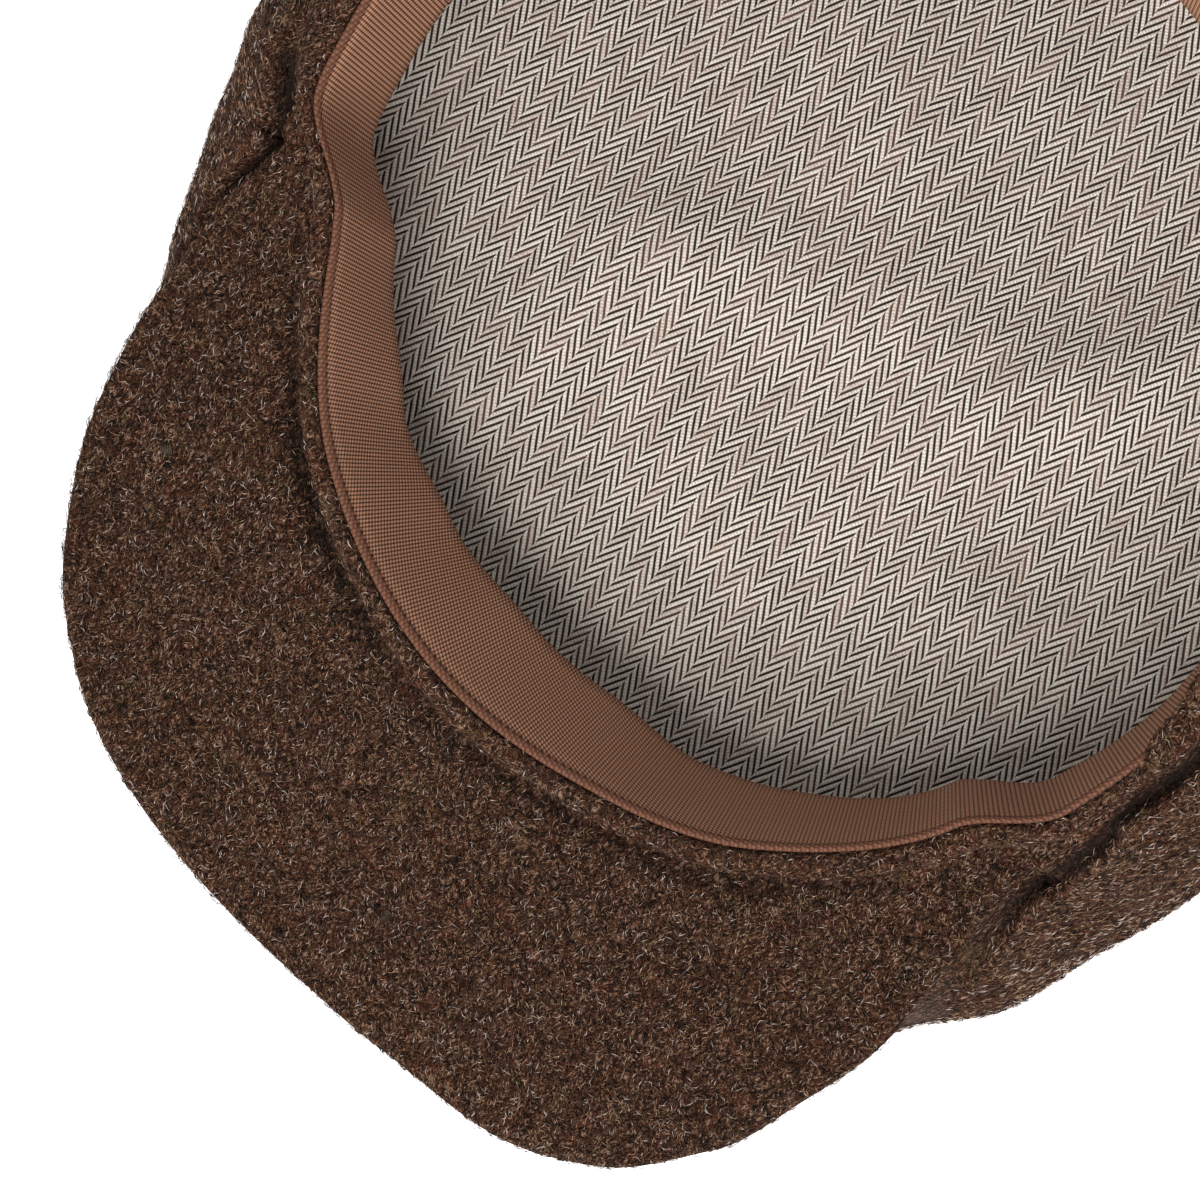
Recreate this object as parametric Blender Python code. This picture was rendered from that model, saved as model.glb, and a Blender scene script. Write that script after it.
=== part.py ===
"""Flat cap of brown wool, lying on its crown with the opening up.

Metres, +Z up. The floor is z = 0, the peak points to -Y, and the origin is under the
middle of the whole cap. Turns are measured about the middle of the opening, from the
front, so 0 is the middle of the peak and pi is the middle of the back.
"""
import math

import bmesh
import bpy
from mathutils import Matrix, Vector

# Opening, along the seam of the sweatband
OPENING_WIDTH = 0.194
OPENING_LENGTH = 0.185
FRONT_RADIUS = 0.0870
FRONT_SPREAD = 0.0016
RIM_HEIGHT_FRONT = 0.046
RIM_HEIGHT_BACK = 0.082

# Peak, lengths as seen from above
PEAK_LENGTH = 0.0554
PEAK_WIDTH = 0.185
PEAK_SIDE_RUN = 0.0346
PEAK_THICKNESS = 0.004
PEAK_FRONT_HEIGHT = 0.020
PEAK_END_TURN = math.radians(68)
PEAK_SQUARENESS = 2.35
PEAK_CURL = 1.6
PEAK_TWIST = math.radians(2.5)

# Crown
CROWN_WIDTH = 0.238
CROWN_SETBACK = 0.0125
CROWN_BACK_OVERHANG = 0.0196
CROWN_WIDEST_BACK = 0.018
CROWN_WALL = 0.002
CROWN_FLOOR_ROUND = 0.030
CROWN_WAIST = 0.45
CROWN_TURN_IN = 0.004

# Rolled edge, sweatband and lining
ROLL_WIDTH = 0.0042
ROLL_HEIGHT = 0.0036
BAND_WIDTH = 0.028
BAND_THICKNESS = 0.001
BAND_STEP_TURN = math.radians(6)
LINING_THICKNESS = 0.001
LINING_CLEARANCE = 0.0006
LINING_FULLNESS = 0.75
LINING_FOLD_HEIGHT = 0.004
SEAM_GAP = 0.0003

# Slope of the sweatband below the level, by turn
BAND_SLOPES = (
    # turn (degrees), slope (degrees)
    (-180, 70),
    (-90, 79),
    (-60, 79),
    (-42, 70),
    (-24, 61),
    (-6, 54),
    (10, 55),
    (28, 62),
    (60, 68),
    (90, 72),
    (180, 70),
)

# Where the soft rim stands off its even line, by turn
RIM_SHIFTS = (
    # turn (degrees), shift outwards as a share of the width of the rolled edge
    (-180, 0.0),
    (-95, 0.0),
    (-77, -0.38),
    (-66, -0.95),
    (-57, -1.20),
    (-32, -0.70),
    (0, -0.50),
    (15, -0.55),
    (39, 0.0),
    (60, 0.25),
    (73, -0.35),
    (95, 0.0),
    (180, 0.0),
)

# Soft dents in the crown, deepest in the middle of each
CROWN_DENTS = (
    # turn (degrees), spread (degrees), depth as a share of the overhang at the back,
    # less than 0 where the crown swells
    (52, 6, 0.10),
    (-78, 7, -0.20),
    (128, 14, 0.14),
    (-136, 16, 0.12),
    (172, 11, 0.10),
)

# Soft ridges in the lining, where it lies loose on the crown
LINING_FOLDS = (
    # across and back as shares of half the opening, heading (degrees), length and
    # breadth as shares of half the opening, height as a share of the fold height
    (-0.15, 0.10, 25, 0.55, 0.13, 0.80),
    (0.35, 0.30, 60, 0.50, 0.12, 1.00),
    (0.10, -0.35, -20, 0.45, 0.12, 0.60),
    (-0.45, -0.20, 75, 0.40, 0.12, 0.65),
    (-0.35, 0.50, -40, 0.45, 0.13, 0.80),
    (0.50, -0.15, 10, 0.30, 0.11, 0.60),
)

# Fineness of the meshes
PEAK_STATIONS = 37
BACK_STATIONS = 47
SOFTENED_STATIONS = 3
RING_STATIONS = 92
LINING_STATIONS = 72

WOOL_BROWN = (0.060, 0.036, 0.024)
BAND_BROWN = (0.205, 0.092, 0.054)
LINING_BEIGE = (0.270, 0.205, 0.165)


def ease(low, high, value):
    """0 below low, 1 above high, and a smooth step between them."""
    share = min(max((value - low) / (high - low), 0.0), 1.0)
    return share * share * (3.0 - 2.0 * share)


def mix(first, second, share):
    return first + (second - first) * share


def from_table(rows, turn):
    """Smooth value of a two-column table at a turn."""
    degrees = math.degrees(math.remainder(turn, 2.0 * math.pi))
    for (low, first), (high, second) in zip(rows, rows[1:]):
        if degrees <= high:
            return mix(first, second, ease(low, high, degrees))
    return rows[-1][1]


def plan_point(radius, turn, height):
    return Vector((radius * math.sin(turn), -radius * math.cos(turn), height))


def spread_evenly(points, count):
    """The same line through count points at even distances."""
    lengths = [0.0]
    for start, end in zip(points, points[1:]):
        lengths.append(lengths[-1] + (end - start).length)
    placed = []
    segment = 0
    for step in range(count):
        target = lengths[-1] * step / (count - 1)
        while segment < len(points) - 2 and lengths[segment + 1] < target:
            segment += 1
        share = (target - lengths[segment]) / (lengths[segment + 1] - lengths[segment])
        placed.append(points[segment].lerp(points[segment + 1], min(share, 1.0)))
    return placed


def rim_radius(turn):
    """Distance from the middle of the opening to the seam of the sweatband."""
    off_front = abs(math.remainder(turn, 2.0 * math.pi))
    across = math.sin(turn) / (OPENING_WIDTH / 2.0)
    along = math.cos(turn) / (OPENING_LENGTH - FRONT_RADIUS)
    oval = 1.0 / math.hypot(across, along)
    step = ease(PEAK_END_TURN - BAND_STEP_TURN, PEAK_END_TURN + BAND_STEP_TURN, off_front)
    front = FRONT_RADIUS + FRONT_SPREAD * ease(0.0, PEAK_END_TURN, off_front)
    return mix(front, oval, step) + ROLL_WIDTH * from_table(RIM_SHIFTS, turn)


def rim_height(turn):
    """Height of the top of the rim, which slopes up from the front to the back."""
    back = FRONT_RADIUS - rim_radius(turn) * math.cos(turn)
    return mix(RIM_HEIGHT_FRONT, RIM_HEIGHT_BACK, back / OPENING_LENGTH)


def under_roll(turn):
    return rim_height(turn) - ROLL_HEIGHT - SEAM_GAP


def peak_base(turn):
    """Inner edge of the peak, hidden under the rolled edge."""
    inner = rim_radius(turn) + LINING_THICKNESS + SEAM_GAP + PEAK_THICKNESS / 2.0
    return plan_point(inner, turn, under_roll(turn))


def peak_outline():
    """Edge of the peak from one end to the other, at even distances."""
    half = PEAK_WIDTH / 2.0
    end_back = -half / math.tan(PEAK_END_TURN)
    corner_back = end_back - PEAK_SIDE_RUN
    depth = FRONT_RADIUS + PEAK_LENGTH + corner_back
    power = 2.0 / PEAK_SQUARENESS
    steps = 4 * PEAK_STATIONS
    edge = [Vector((half, end_back, 0.0))]
    for step in range(steps + 1):
        angle = math.pi / 2.0 * (1.0 - step / steps)
        across = half * math.sin(angle) ** power
        edge.append(Vector((across, corner_back - depth * max(math.cos(angle), 0.0) ** power, 0.0)))
    other_side = [Vector((-point.x, point.y, 0.0)) for point in reversed(edge[:-1])]
    outline = spread_evenly(edge + other_side, PEAK_STATIONS)
    end_height = under_roll(PEAK_END_TURN)
    for index, point in enumerate(outline):
        share = abs(1.0 - 2.0 * index / (PEAK_STATIONS - 1))
        point.rotate(Matrix.Rotation(PEAK_TWIST * (1.0 - share ** 3), 3, "Z"))
        point.z = mix(PEAK_FRONT_HEIGHT, end_height, share ** PEAK_CURL)
    return outline


def peak_rulings():
    """Straight lines across the peak: inner point, unit direction, length and normal."""
    outline = peak_outline()
    inner = []
    for index in range(PEAK_STATIONS):
        inner.append(peak_base(PEAK_END_TURN * (1.0 - 2.0 * index / (PEAK_STATIONS - 1))))
    rulings = []
    for index, (start, end) in enumerate(zip(inner, outline)):
        before = max(index - 1, 0)
        after = min(index + 1, PEAK_STATIONS - 1)
        along = (outline[after] - outline[before]) + (inner[after] - inner[before])
        outward = (end - start).normalized()
        normal = outward.cross(along).normalized()
        if normal.z < 0.0:
            normal.negate()
        length = (end - start).length - PEAK_THICKNESS / 2.0
        rulings.append((start, outward, length, normal))
    return rulings


def crown_reach(turn):
    """Distance from the middle of the opening to the widest line of the crown."""
    sine, cosine = math.sin(turn), -math.cos(turn)
    middle = CROWN_WIDEST_BACK
    back = OPENING_LENGTH - FRONT_RADIUS + CROWN_BACK_OVERHANG - middle
    front = FRONT_RADIUS + PEAK_LENGTH - CROWN_SETBACK + middle
    reach = 0.0
    for depth, sign in ((back, 1.0), (front, -1.0)):
        square = (sine / (CROWN_WIDTH / 2.0)) ** 2 + (cosine / depth) ** 2
        linear = -2.0 * middle * cosine / depth ** 2
        rest = (middle / depth) ** 2 - 1.0
        root = (-linear + math.sqrt(linear ** 2 - 4.0 * square * rest)) / (2.0 * square)
        if sign * (root * cosine - middle) >= 0.0:
            reach = root
    for degrees, spread, depth in CROWN_DENTS:
        off = math.degrees(math.remainder(turn - math.radians(degrees), 2.0 * math.pi))
        reach -= depth * CROWN_BACK_OVERHANG * math.exp(-(off / spread) ** 2)
    return reach


def crown_edge_on_peak(ruling):
    """Where the crown is caught to the hidden side of the peak."""
    start, outward, length, normal = ruling
    low, high = 0.0, 0.75
    for _ in range(24):
        share = (low + high) / 2.0
        point = start + outward * length * share
        reach = crown_reach(math.atan2(point.x, -point.y)) - CROWN_TURN_IN
        if math.hypot(point.x, point.y) > reach:
            high = share
        else:
            low = share
    return start + outward * length * low - normal * (PEAK_THICKNESS + SEAM_GAP)


def crown_edge_at_rim(turn):
    radius = rim_radius(turn) + ROLL_WIDTH - SEAM_GAP
    return plan_point(radius, turn, under_roll(turn))


def crown_edge():
    """Upper edge of the crown, once around from the middle of the back."""
    under_peak = [crown_edge_on_peak(ruling) for ruling in peak_rulings()]
    behind_peak = PEAK_END_TURN + 2.0 * SEAM_GAP / FRONT_RADIUS
    arc = 2.0 * (math.pi - behind_peak)
    around_back = []
    for step in range(BACK_STATIONS):
        turn = -behind_peak - arc * step / (BACK_STATIONS - 1)
        around_back.append(crown_edge_at_rim(turn))
    return under_peak + around_back


def softened(edge):
    """A closed edge with each point moved to the middle of its neighbours."""
    count = len(edge)
    soft = []
    for index in range(count):
        total = Vector((0.0, 0.0, 0.0))
        for step in range(-SOFTENED_STATIONS, SOFTENED_STATIONS + 1):
            total += edge[(index + step) % count]
        soft.append(total / (2 * SOFTENED_STATIONS + 1))
    return soft


def crown_profile(edge, soft):
    """Outside of the crown from its upper edge to the floor, led by the softened edge."""
    turn = math.atan2(edge.x, -edge.y)
    radius = math.hypot(edge.x, edge.y)
    reach = crown_reach(turn)
    waist = CROWN_WAIST * soft.z
    out, drop = reach - radius, soft.z - waist
    handles = (
        (radius, edge.z),
        (radius + 0.60 * out, min(edge.z, soft.z) - 0.15 * drop),
        (reach, soft.z - 0.45 * drop),
        (reach, waist),
    )
    profile = []
    for step in range(5):
        share = step / 5.0
        rest = 1.0 - share
        weights = (rest ** 3, 3 * rest ** 2 * share, 3 * rest * share ** 2, share ** 3)
        across = sum(weight * handle[0] for weight, handle in zip(weights, handles))
        height = sum(weight * handle[1] for weight, handle in zip(weights, handles))
        profile.append(plan_point(across, turn, height))
    for step in range(5):
        angle = math.pi / 2.0 * step / 4.0
        across = reach - CROWN_FLOOR_ROUND * (1.0 - math.cos(angle))
        profile.append(plan_point(across, turn, waist * (1.0 - math.sin(angle))))
    floor_radius = reach - CROWN_FLOOR_ROUND
    profile[-1].z = 0.0
    profile.append(plan_point(0.9 * floor_radius, turn, 0.0))
    profile.append(plan_point(0.5 * floor_radius, turn, 0.0))
    return profile


def fold_lift(point, rows):
    """Height that the ridges of a table add to the lining at a point."""
    half = OPENING_LENGTH / 2.0
    lift = 0.0
    for across, back, heading, length, breadth, height in rows:
        angle = math.radians(heading)
        right = point.x / half - across
        away = point.y / half - back
        along = right * math.cos(angle) + away * math.sin(angle)
        off = away * math.cos(angle) - right * math.sin(angle)
        lift += height * LINING_FOLD_HEIGHT * math.exp(-(along / length) ** 2 - (off / breadth) ** 2)
    return lift


def height_at(turn, edge):
    """Height of a closed edge at a turn, between its points."""
    placed = sorted((math.atan2(point.x, -point.y), point.z) for point in edge)
    around = 2.0 * math.pi
    placed.insert(0, (placed[-1][0] - around, placed[-1][1]))
    placed.append((placed[1][0] + around, placed[1][1]))
    turn = math.remainder(turn, around)
    for (low, first), (high, second) in zip(placed, placed[1:]):
        if low <= turn <= high:
            return mix(first, second, (turn - low) / (high - low))
    return placed[0][1]


def lining_profile(turn, edge):
    """Outside of the lining, from the seam of the sweatband down along the crown."""
    seam = rim_radius(turn) + LINING_THICKNESS / 2.0
    top = under_roll(turn)
    reach = mix(seam, crown_reach(turn), LINING_FULLNESS)
    floor = CROWN_WALL + LINING_CLEARANCE
    waist = CROWN_WAIST * height_at(turn, edge)
    shoulder = floor + waist
    profile = []
    for out, up in ((0.0, 1.0), (0.0, 0.7), (0.35, 0.42), (0.8, 0.15)):
        profile.append(plan_point(mix(seam, reach, out), turn, mix(shoulder, top, up)))
    for step in range(5):
        angle = math.pi / 2.0 * step / 4.0
        across = reach - CROWN_FLOOR_ROUND * (1.0 - math.cos(angle))
        profile.append(plan_point(across, turn, floor + waist * (1.0 - math.sin(angle))))
    floor_radius = reach - CROWN_FLOOR_ROUND
    for share in (0.84, 0.66, 0.48, 0.30, 0.14):
        point = plan_point(share * floor_radius, turn, floor)
        point.z += fold_lift(point, LINING_FOLDS)
        profile.append(point)
    return profile


def band_section(turn):
    """Section of the sweatband, from its sewn edge down to its free edge and back."""
    slope = math.radians(from_table(BAND_SLOPES, turn))
    down = Vector((-math.cos(slope), -math.sin(slope)))
    face = Vector((-math.sin(slope), math.cos(slope))) * BAND_THICKNESS
    seam = Vector((rim_radius(turn) - SEAM_GAP, rim_height(turn) - BAND_THICKNESS))
    rows = [seam + down * BAND_WIDTH * step / 3.0 for step in range(4)]
    loop = [row + face for row in rows] + rows[::-1]
    return [plan_point(point.x, turn, point.y) for point in loop]


def roll_section(turn):
    """Section of the rolled edge, an oval between the sweatband and the wool."""
    middle_radius = rim_radius(turn) + ROLL_WIDTH / 2.0
    middle_height = rim_height(turn) - ROLL_HEIGHT / 2.0
    loop = []
    for step in range(8):
        angle = -2.0 * math.pi * (step + 0.5) / 8.0
        radius = middle_radius + ROLL_WIDTH / 2.0 * math.cos(angle)
        height = middle_height + ROLL_HEIGHT / 2.0 * math.sin(angle)
        loop.append(plan_point(radius, turn, height))
    return loop


def peak_section(ruling):
    """Section of the peak along one ruling, with a round outer edge."""
    start, outward, length, normal = ruling
    steps = 5
    seen = [start + outward * length * step / steps for step in range(steps + 1)]
    hidden = [point - normal * PEAK_THICKNESS for point in seen]
    middle = seen[-1] - normal * PEAK_THICKNESS / 2.0
    turned = []
    for step in range(1, 4):
        angle = math.pi * step / 4.0
        offset = normal * math.cos(angle) + outward * math.sin(angle)
        turned.append(middle + offset * PEAK_THICKNESS / 2.0)
    return seen + turned + hidden[::-1]


def new_object(name, mesh_data, colour, roughness):
    """Object of one bmesh, faces out, with its own plain material."""
    bmesh.ops.recalc_face_normals(mesh_data, faces=mesh_data.faces)
    mesh = bpy.data.meshes.new(name)
    mesh_data.to_mesh(mesh)
    mesh_data.free()
    mesh.shade_smooth()
    mesh.set_sharp_from_angle(angle=math.radians(50))
    material = bpy.data.materials.new(name)
    material.use_nodes = True
    shader = material.node_tree.nodes["Principled BSDF"]
    shader.inputs["Base Color"].default_value = (*colour, 1.0)
    shader.inputs["Roughness"].default_value = roughness
    shader.inputs["Metallic"].default_value = 0.0
    mesh.materials.append(material)
    piece = bpy.data.objects.new(name, mesh)
    bpy.context.scene.collection.objects.link(piece)
    return piece


def skin_sections(sections, closed):
    """Mesh through closed sections, as a ring or as a strip with two end faces."""
    mesh_data = bmesh.new()
    loops = [[mesh_data.verts.new(point) for point in section] for section in sections]
    following = loops[1:] + loops[:1] if closed else loops[1:]
    for first, second in zip(loops, following):
        for index in range(len(first)):
            after = (index + 1) % len(first)
            mesh_data.faces.new((first[index], first[after], second[after], second[index]))
    if not closed:
        mesh_data.faces.new(loops[0])
        mesh_data.faces.new(loops[-1])
    return mesh_data


def shell(profiles, pole, wall):
    """Bowl of an even wall, from the outside profiles all around it to its pole."""
    count, rows = len(profiles), len(profiles[0])
    down = Vector((0.0, 0.0, -1.0))
    inside = []
    for profile in profiles:
        away = Vector((profile[0].x, profile[0].y, 0.0)).normalized()
        column = []
        for row, point in enumerate(profile):
            lower = profile[row + 1] if row + 1 < rows else pole
            fall = lower - profile[max(row - 1, 0)]
            outward = away * -fall.z + down * -fall.dot(away)
            column.append(point - outward.normalized() * wall)
        inside.append(column)
    mesh_data = bmesh.new()
    skins = []
    for columns, middle in ((profiles, pole), (inside, pole + Vector((0.0, 0.0, wall)))):
        skins.append([[mesh_data.verts.new(point) for point in column] for column in columns])
        tip = mesh_data.verts.new(middle)
        for first, second in zip(skins[-1], skins[-1][1:] + skins[-1][:1]):
            mesh_data.faces.new((first[-1], second[-1], tip))
            for row in range(rows - 1):
                mesh_data.faces.new((first[row], second[row], second[row + 1], first[row + 1]))
    outer, inner = skins
    for index in range(count):
        after = (index + 1) % count
        mesh_data.faces.new((outer[index][0], outer[after][0], inner[after][0], inner[index][0]))
    return mesh_data


def even_turns(count):
    return [2.0 * math.pi * step / count for step in range(count)]


def make_crown():
    edge = crown_edge()
    profiles = [crown_profile(point, soft) for point, soft in zip(edge, softened(edge))]
    body = shell(profiles, Vector((0.0, 0.0, 0.0)), CROWN_WALL)
    return new_object("crown", body, WOOL_BROWN, 0.95)


def make_peak():
    sections = [peak_section(ruling) for ruling in peak_rulings()]
    return new_object("peak", skin_sections(sections, False), WOOL_BROWN, 0.95)


def make_rolled_edge():
    sections = [roll_section(turn) for turn in even_turns(RING_STATIONS)]
    return new_object("rolled_edge", skin_sections(sections, True), WOOL_BROWN, 0.95)


def make_sweatband():
    sections = [band_section(turn) for turn in even_turns(RING_STATIONS)]
    return new_object("sweatband", skin_sections(sections, True), BAND_BROWN, 0.85)


def make_lining():
    edge = softened(crown_edge())
    profiles = [lining_profile(turn, edge) for turn in even_turns(LINING_STATIONS)]
    floor = CROWN_WALL + LINING_CLEARANCE
    pole = Vector((0.0, 0.0, floor))
    pole.z += fold_lift(pole, LINING_FOLDS)
    return new_object("lining", shell(profiles, pole, LINING_THICKNESS), LINING_BEIGE, 0.9)


def centre_on_floor(pieces):
    """Move the pieces together, so that the origin is under the middle of the cap."""
    places = [vertex.co.y for piece in pieces for vertex in piece.data.vertices]
    shift = -(min(places) + max(places)) / 2.0
    for piece in pieces:
        piece.location.y = shift


def main():
    for piece in list(bpy.data.objects):
        bpy.data.objects.remove(piece, do_unlink=True)
    centre_on_floor([make_crown(), make_peak(), make_rolled_edge(), make_sweatband(), make_lining()])


main()
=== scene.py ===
"""Looks of the flat cap: milled melange wool, a ribbed sweatband and a herringbone lining.

Metres, +Z up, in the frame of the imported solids. Turns are measured about the middle of
the opening, from the front, so 0 is the middle of the peak and pi the middle of the back.
"""

import math
from functools import partial

import bmesh
import bpy
import numpy as np
from mathutils import Matrix, Vector
from mathutils.bvhtree import BVHTree


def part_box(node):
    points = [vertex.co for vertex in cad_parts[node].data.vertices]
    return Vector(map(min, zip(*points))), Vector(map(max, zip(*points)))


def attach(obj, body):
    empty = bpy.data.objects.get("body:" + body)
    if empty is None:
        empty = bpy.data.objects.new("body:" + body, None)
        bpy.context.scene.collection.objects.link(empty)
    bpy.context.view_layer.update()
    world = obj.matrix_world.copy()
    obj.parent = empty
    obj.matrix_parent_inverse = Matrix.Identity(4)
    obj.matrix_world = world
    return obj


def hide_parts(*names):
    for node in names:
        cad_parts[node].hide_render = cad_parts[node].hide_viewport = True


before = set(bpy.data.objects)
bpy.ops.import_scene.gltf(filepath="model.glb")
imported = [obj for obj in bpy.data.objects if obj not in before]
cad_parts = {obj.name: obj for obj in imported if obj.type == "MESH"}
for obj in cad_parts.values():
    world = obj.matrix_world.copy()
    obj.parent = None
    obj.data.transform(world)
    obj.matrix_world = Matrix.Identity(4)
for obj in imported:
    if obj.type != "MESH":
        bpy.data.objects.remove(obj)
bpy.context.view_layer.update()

UP = Vector((0.0, 0.0, 1.0))

# Opening, along the seam of the sweatband
OPENING_WIDTH = 0.194
OPENING_LENGTH = 0.185
FRONT_RADIUS = 0.0870
FRONT_SPREAD = 0.0016
RIM_HEIGHT_FRONT = 0.046
RIM_HEIGHT_BACK = 0.082

# Peak
PEAK_LENGTH = 0.0554
PEAK_WIDTH = 0.185
PEAK_SIDE_RUN = 0.0346
PEAK_THICKNESS = 0.004
PEAK_FRONT_HEIGHT = 0.020
PEAK_END_TURN = math.radians(68)
PEAK_SQUARENESS = 2.35
PEAK_CURL = 1.6
PEAK_TWIST = math.radians(2.5)
PEAK_TAIL_TURN = math.radians(76)
PEAK_ROW_POWER = 1.25
PEAK_EDGE_STEPS = 8
PEAK_END_STEPS = 5
TAIL_STEPS = 8
TAIL_INSET = 0.0012
TAIL_ROUND = 0.0004
VALLEY_MIDDLE = 0.0012
VALLEY_SPREAD = 0.0022

# Crown
CROWN_WIDTH = 0.238
CROWN_SETBACK = 0.0125
CROWN_BACK_OVERHANG = 0.0196
CROWN_WIDEST_BACK = 0.018
CROWN_WALL = 0.002
CROWN_FLOOR_ROUND = 0.030
CROWN_WAIST = 0.45
CROWN_TURN_IN = 0.004
CROWN_ROW_POWER = 1.6
CROWN_SOFTNESS = 15
SIDE_WAVER = 0.0006
FLOOR_WAVER = 0.0008
FLOOR_RINGS = (0.9, 0.75, 0.55, 0.35, 0.15)
CREASE_MIDDLE = 0.0016
CREASE_SPREAD = 0.0014
CREASE_DEPTH = 0.42
CREASE_END = 0.0060

# Rolled edge, sweatband and lining
ROLL_WIDTH = 0.0042
ROLL_HEIGHT = 0.0036
BAND_WIDTH = 0.028
BAND_THICKNESS = 0.001
BAND_STEP_TURN = math.radians(6)
ROLL_LEAN_LIFT = 0.35
ROLL_TUCK = 0.0005
ROLL_SQUARENESS = 0.5
LINING_THICKNESS = 0.001
LINING_CLEARANCE = 0.0006
LINING_FULLNESS = 0.75
LINING_FOLD_HEIGHT = 0.004
LINING_FALL = ((0.0, 1.0), (0.0, 0.7), (0.35, 0.42), (0.8, 0.15), (1.0, 0.0))
SEAM_GAP = 0.0003

# Slope of the sweatband below the level, by turn
BAND_SLOPES = (
    # turn (degrees), slope (degrees)
    (-180, 70), (-90, 79), (-60, 79), (-42, 70), (-24, 61), (-6, 54), (10, 55), (28, 62),
    (60, 68), (90, 72), (180, 70),
)

# Where the soft rim stands off its even line, by turn
RIM_SHIFTS = (
    # turn (degrees), shift outwards as a share of the width of the rolled edge
    (-180, 0.0), (-95, 0.0), (-77, -0.38), (-66, -0.95), (-57, -1.20), (-32, -0.70),
    (0, -0.50), (15, -0.55), (39, 0.0), (60, 0.25), (73, -0.35), (95, 0.0), (180, 0.0),
)

# Soft dents in the crown, deepest in the middle of each
CROWN_DENTS = (
    # turn (degrees), spread (degrees), depth as a share of the overhang at the back,
    # less than 0 where the crown swells
    (52, 6, 0.10), (-78, 7, -0.20), (128, 14, 0.14), (-136, 16, 0.12), (172, 11, 0.10),
)

# Soft ridges in the lining, where it lies loose on the crown
LINING_FOLDS = (
    # across and back as shares of half the opening, heading (degrees), length and
    # breadth as shares of half the opening, height as a share of the fold height
    (-0.15, 0.10, 25, 0.55, 0.13, 0.80),
    (0.35, 0.30, 60, 0.50, 0.12, 1.00),
    (0.10, -0.35, -20, 0.45, 0.12, 0.60),
    (-0.45, -0.20, 75, 0.40, 0.12, 0.65),
    (-0.35, 0.50, -40, 0.45, 0.13, 0.80),
    (0.50, -0.15, 10, 0.30, 0.11, 0.60),
)

# Height of the soft swell of the crown beside the rim, by turn
CROWN_SWELLS = (
    # turn (degrees), height (share of the height of the rolled edge)
    (-180, 0.70), (-110, 1.10), (-80, 1.35), (-66, 1.25), (-50, 1.0), (50, 1.0), (66, 1.35),
    (80, 1.45), (110, 1.10), (180, 0.70),
)

# Width of the rolled edge, narrower where the ends of the peak press on it
ROLL_WIDTHS = (
    # turn (degrees), width (share of the width of the rolled edge)
    (-180, 1.20), (-95, 1.45), (-82, 1.50), (-77, 1.30), (-73, 0.85), (-70, 0.76),
    (-60, 0.95), (-42, 0.84), (-18, 0.84), (0, 0.95), (66, 1.00), (74, 0.78), (79, 0.62),
    (88, 0.80), (98, 1.00), (180, 1.20),
)

# How far the rolled edge leans in over the sweatband, by turn
ROLL_LEANS = (
    # turn (degrees), lean (share of the width of the rolled edge)
    (-180, 0.0), (80, 0.0), (88, 0.75), (96, 1.30), (106, 1.10), (132, 0.0), (180, 0.0),
)

# Depth of the valley in the peak beside the rolled edge, by turn
PEAK_VALLEYS = (
    # turn (degrees), depth (share of the peak's thickness)
    (-68, 0.0), (-54, 0.10), (-38, 0.48), (-22, 0.48), (-8, 0.25), (22, 0.30), (48, 0.20),
    (62, 0.0), (180, 0.0),
)

# Where the edge of the peak stands off its even outline, by turn
PEAK_EDGE_SHIFTS = (
    # turn (degrees), shift outwards (share of the peak's thickness)
    (-68, -0.60), (-60, 0.0), (-52, -0.10), (-44, -0.50), (-36, -0.60), (-28, -0.30),
    (-20, -0.10), (-6, -0.18), (4, -0.15), (11, -0.05), (24, 0.80), (29, 0.75), (37, 0.10),
    (44, -0.55), (52, -0.10), (60, 0.0), (68, 0.05),
)

# Where the widest line of the crown stands off its even line, by turn
CROWN_SHIFTS = (
    # turn (degrees), shift outwards (share of the height of the rolled edge)
    (-180, 0.0), (-96, 0.0), (-82, -0.65), (-75, -0.65), (-68, 0.10), (-56, 0.10),
    (58, 0.0), (70, -0.80), (80, -0.80), (94, 0.0), (180, 0.0),
)

# Small flat tacks of thread on the peak
TACKS = (
    # across, back from the middle of the part, heading, length and breadth (metres)
    (-0.0704, -0.0772, -43, 0.0048, 0.0019),
    (0.0133, -0.1091, -178, 0.0034, 0.0019),
)
TACK_STITCHES = 7
TACK_SHADES = 3
TACK_LIFT = 0.00045
TACK_THREAD = 0.00022
TACK_SHADE = 0.0003

# Fineness of the meshes
PEAK_STATIONS = 181
PEAK_ROWS = 34
CROWN_STATIONS = 420
CROWN_ROWS = 30
RING_STATIONS = 540
ROLL_POINTS = 12
LINING_STATIONS = 240
LINING_FALL_ROWS = 14
LINING_ROUND_STEPS = 12
LINING_FLOOR_ROWS = 28
RIB_COUNT = 700
POINTS_PER_RIB = 4

# Weave and threads
RIB_DEPTH = 0.00022
HEM_WIDTH = 0.0010
HEM_ROWS = 5
STITCH_LINE = 0.00125
STITCH_RIBS = 3.1
BAND_WORN = (0.0245, 0.0272)
THREAD_BEAD = 0.00088
HERRINGBONE_COLUMN = 0.0026
HERRINGBONE_REPEAT = 0.00217
HERRINGBONE_HEADING = math.radians(-4.5)
TWILL_WAVER = 0.00012
TWILL_BEADS = 3.2
WOOL_CURL = 0.0016
WOOL_STREAKS = ((90.0, 2600.0), (62.0, 2300.0), (122.0, 2450.0))
# Painted shade in the creases of the wool: its colour and its spread across the crease
PAINTED_CREASE_SHADE_COLOUR = (0.0035, 0.0018, 0.0010)
CREASE_SHADE = 0.0018
NAP_CLEARANCE = 0.004
NAP_THINNING = 0.003
# Fading of the painted crease shade away from the middle of the opening, and spread and strength
# of the painted shade in the valley of the peak
PAINTED_SHADE_FADING = ((0.100, 0.111), (0.95, 0.40))
VALLEY_SHADE = 0.0030
VALLEY_SHADE_STRENGTH = 1.5
CLOTH_GLOSS = 0.12

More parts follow.
